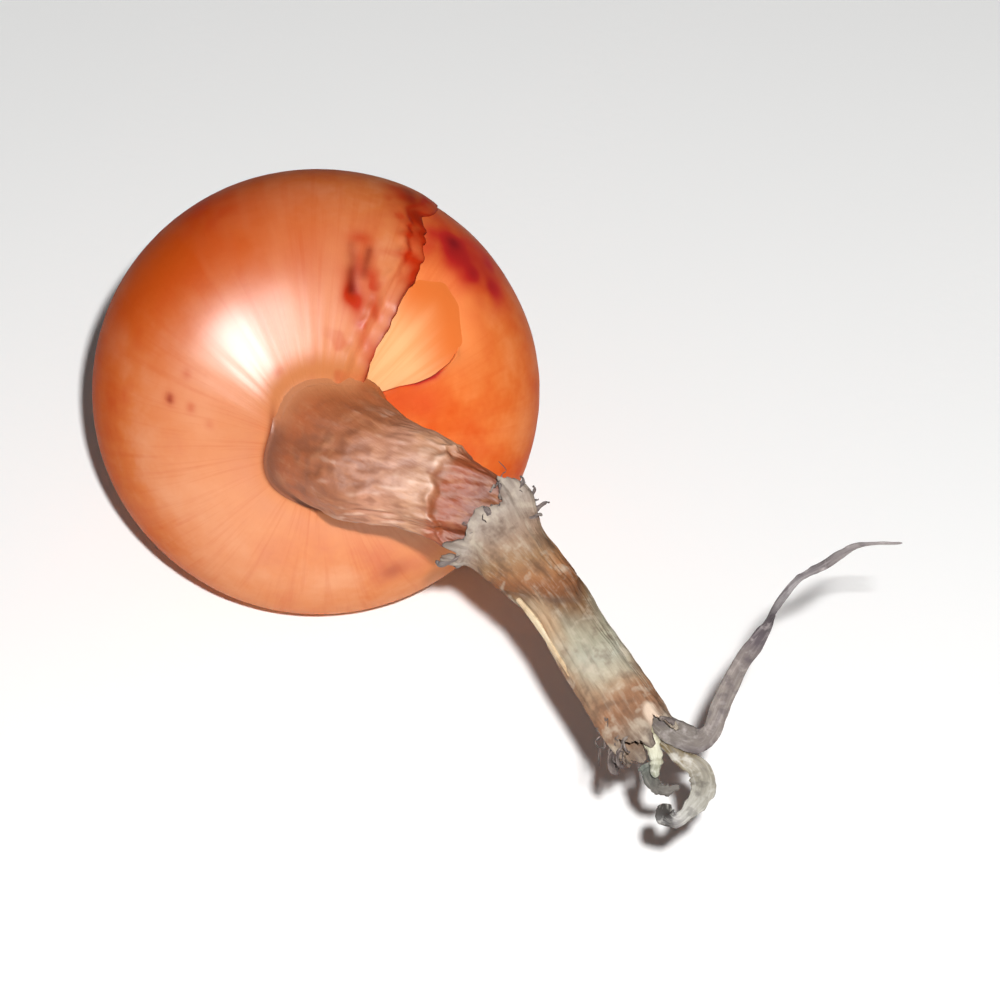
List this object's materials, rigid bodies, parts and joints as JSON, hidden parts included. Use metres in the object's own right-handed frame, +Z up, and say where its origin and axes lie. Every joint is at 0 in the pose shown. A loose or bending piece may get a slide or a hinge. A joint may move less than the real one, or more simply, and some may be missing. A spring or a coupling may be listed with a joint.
{
  "type": "onion set",
  "caption": "Small cured onion bulb with torn papery skins, a dried neck bent to one side, a dead leaf and a tuft of dried roots, lying tipped on a small flat spot.",
  "frame": {"origin": "middle of the small flat spot under the bulb, on the surface that the onion lies on", "axes": "+Z up, -Y the way the tipped neck points, +X the side that the dried neck bends to"},
  "size_m": [0.0545, 0.0623, 0.0351],
  "materials": {
    "bulb": "gloss",
    "inner_skin": "gloss",
    "outer_skin": "gloss",
    "root_plate": "matte",
    "root": "matte",
    "neck_sleeve": "matte",
    "leaf_sheath": "matte",
    "sheath_edge": "matte",
    "inner_stalk": "matte",
    "dried_leaf": "matte"
  },
  "bodies": {
    "root": {"bulb": "bulb", "inner_skin": "inner_skin", "outer_skin": "outer_skin", "neck_sleeve": "neck_sleeve", "leaf_sheath": "leaf_sheath", "sheath_edge": "sheath_edge", "inner_stalk": "inner_stalk", "curled_end": "dried_leaf", "short_end": "dried_leaf", "dried_leaf": "dried_leaf", "root_plate": "root_plate", "root_01": "root", "root_02": "root", "root_03": "root", "root_04": "root", "root_05": "root", "root_06": "root", "root_07": "root", "root_08": "root", "root_09": "root", "root_10": "root", "root_11": "root", "root_12": "root", "root_13": "root", "root_14": "root"}
  },
  "joints": []
}
